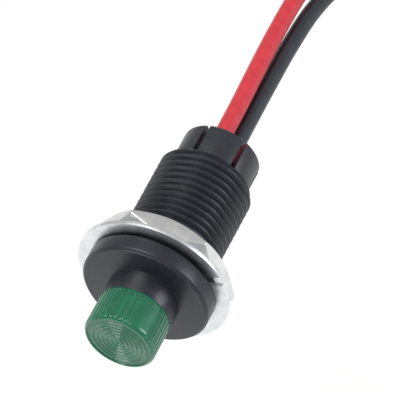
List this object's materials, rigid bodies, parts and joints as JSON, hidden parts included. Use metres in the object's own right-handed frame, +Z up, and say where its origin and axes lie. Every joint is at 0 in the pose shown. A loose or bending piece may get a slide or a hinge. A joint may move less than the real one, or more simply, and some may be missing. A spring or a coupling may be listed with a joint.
{
  "type": "panel pilot light",
  "caption": "Panel pilot light with a fluted green lens, black threaded round body, hex nut, split lock washer and red and black wire leads.",
  "frame": {"origin": "on the axis, on the rear face of the flange, where it seats on the front of the panel", "axes": "+Y along the axis towards the rear, where the nut goes on and the leads leave; the lens looks to -Y; +Z up; +X to the right seen from the front"},
  "size_m": [0.0274, 0.0886, 0.1234],
  "materials": {
    "lens_green": "clear gloss",
    "body_black": "satin gloss",
    "washer_zinc": "zinc plated",
    "nut_nickel": "nickel plated",
    "bushing_black": "satin",
    "lamp_green": "clear",
    "tinned_wire": "tinned",
    "resistor_tan": "lacquered",
    "sleeve_black": "satin",
    "potting_black": "matt",
    "lead_red": "satin",
    "lead_black": "satin"
  },
  "bodies": {
    "root": {"lens": "lens_green", "housing": "body_black", "rear_bushing": "bushing_black", "led": "lamp_green", "anode_leg": "tinned_wire", "cathode_leg": "tinned_wire", "led_holder": "bushing_black", "resistor": "resistor_tan", "resistor_leg_front": "tinned_wire", "resistor_leg_rear": "tinned_wire", "anode_joint": "tinned_wire", "anode_splice": "tinned_wire", "cathode_splice": "tinned_wire", "anode_sleeve": "sleeve_black", "cathode_sleeve": "sleeve_black", "potting": "potting_black", "red_lead": "lead_red", "black_lead": "lead_black", "red_conductor": "tinned_wire", "black_conductor": "tinned_wire"},
    "washer": {"lock_washer": "washer_zinc"},
    "nut": {"hex_nut": "nut_nickel"}
  },
  "joints": [
    {"name": "washer_slide", "type": "slide", "parent": "root", "child": "washer", "axis": [0, 1, 0], "range_m": [0, 0.0125]},
    {"name": "nut_spin", "type": "hinge", "parent": "washer", "child": "nut", "pos_m": [0, 0.0025, 0], "axis": [0, 1, 0], "range_deg": [0, 4250]}
  ],
  "couplings": [
    {"joint": "washer_slide", "follows": "nut_spin", "m_per_rad": 0.0001684}
  ]
}
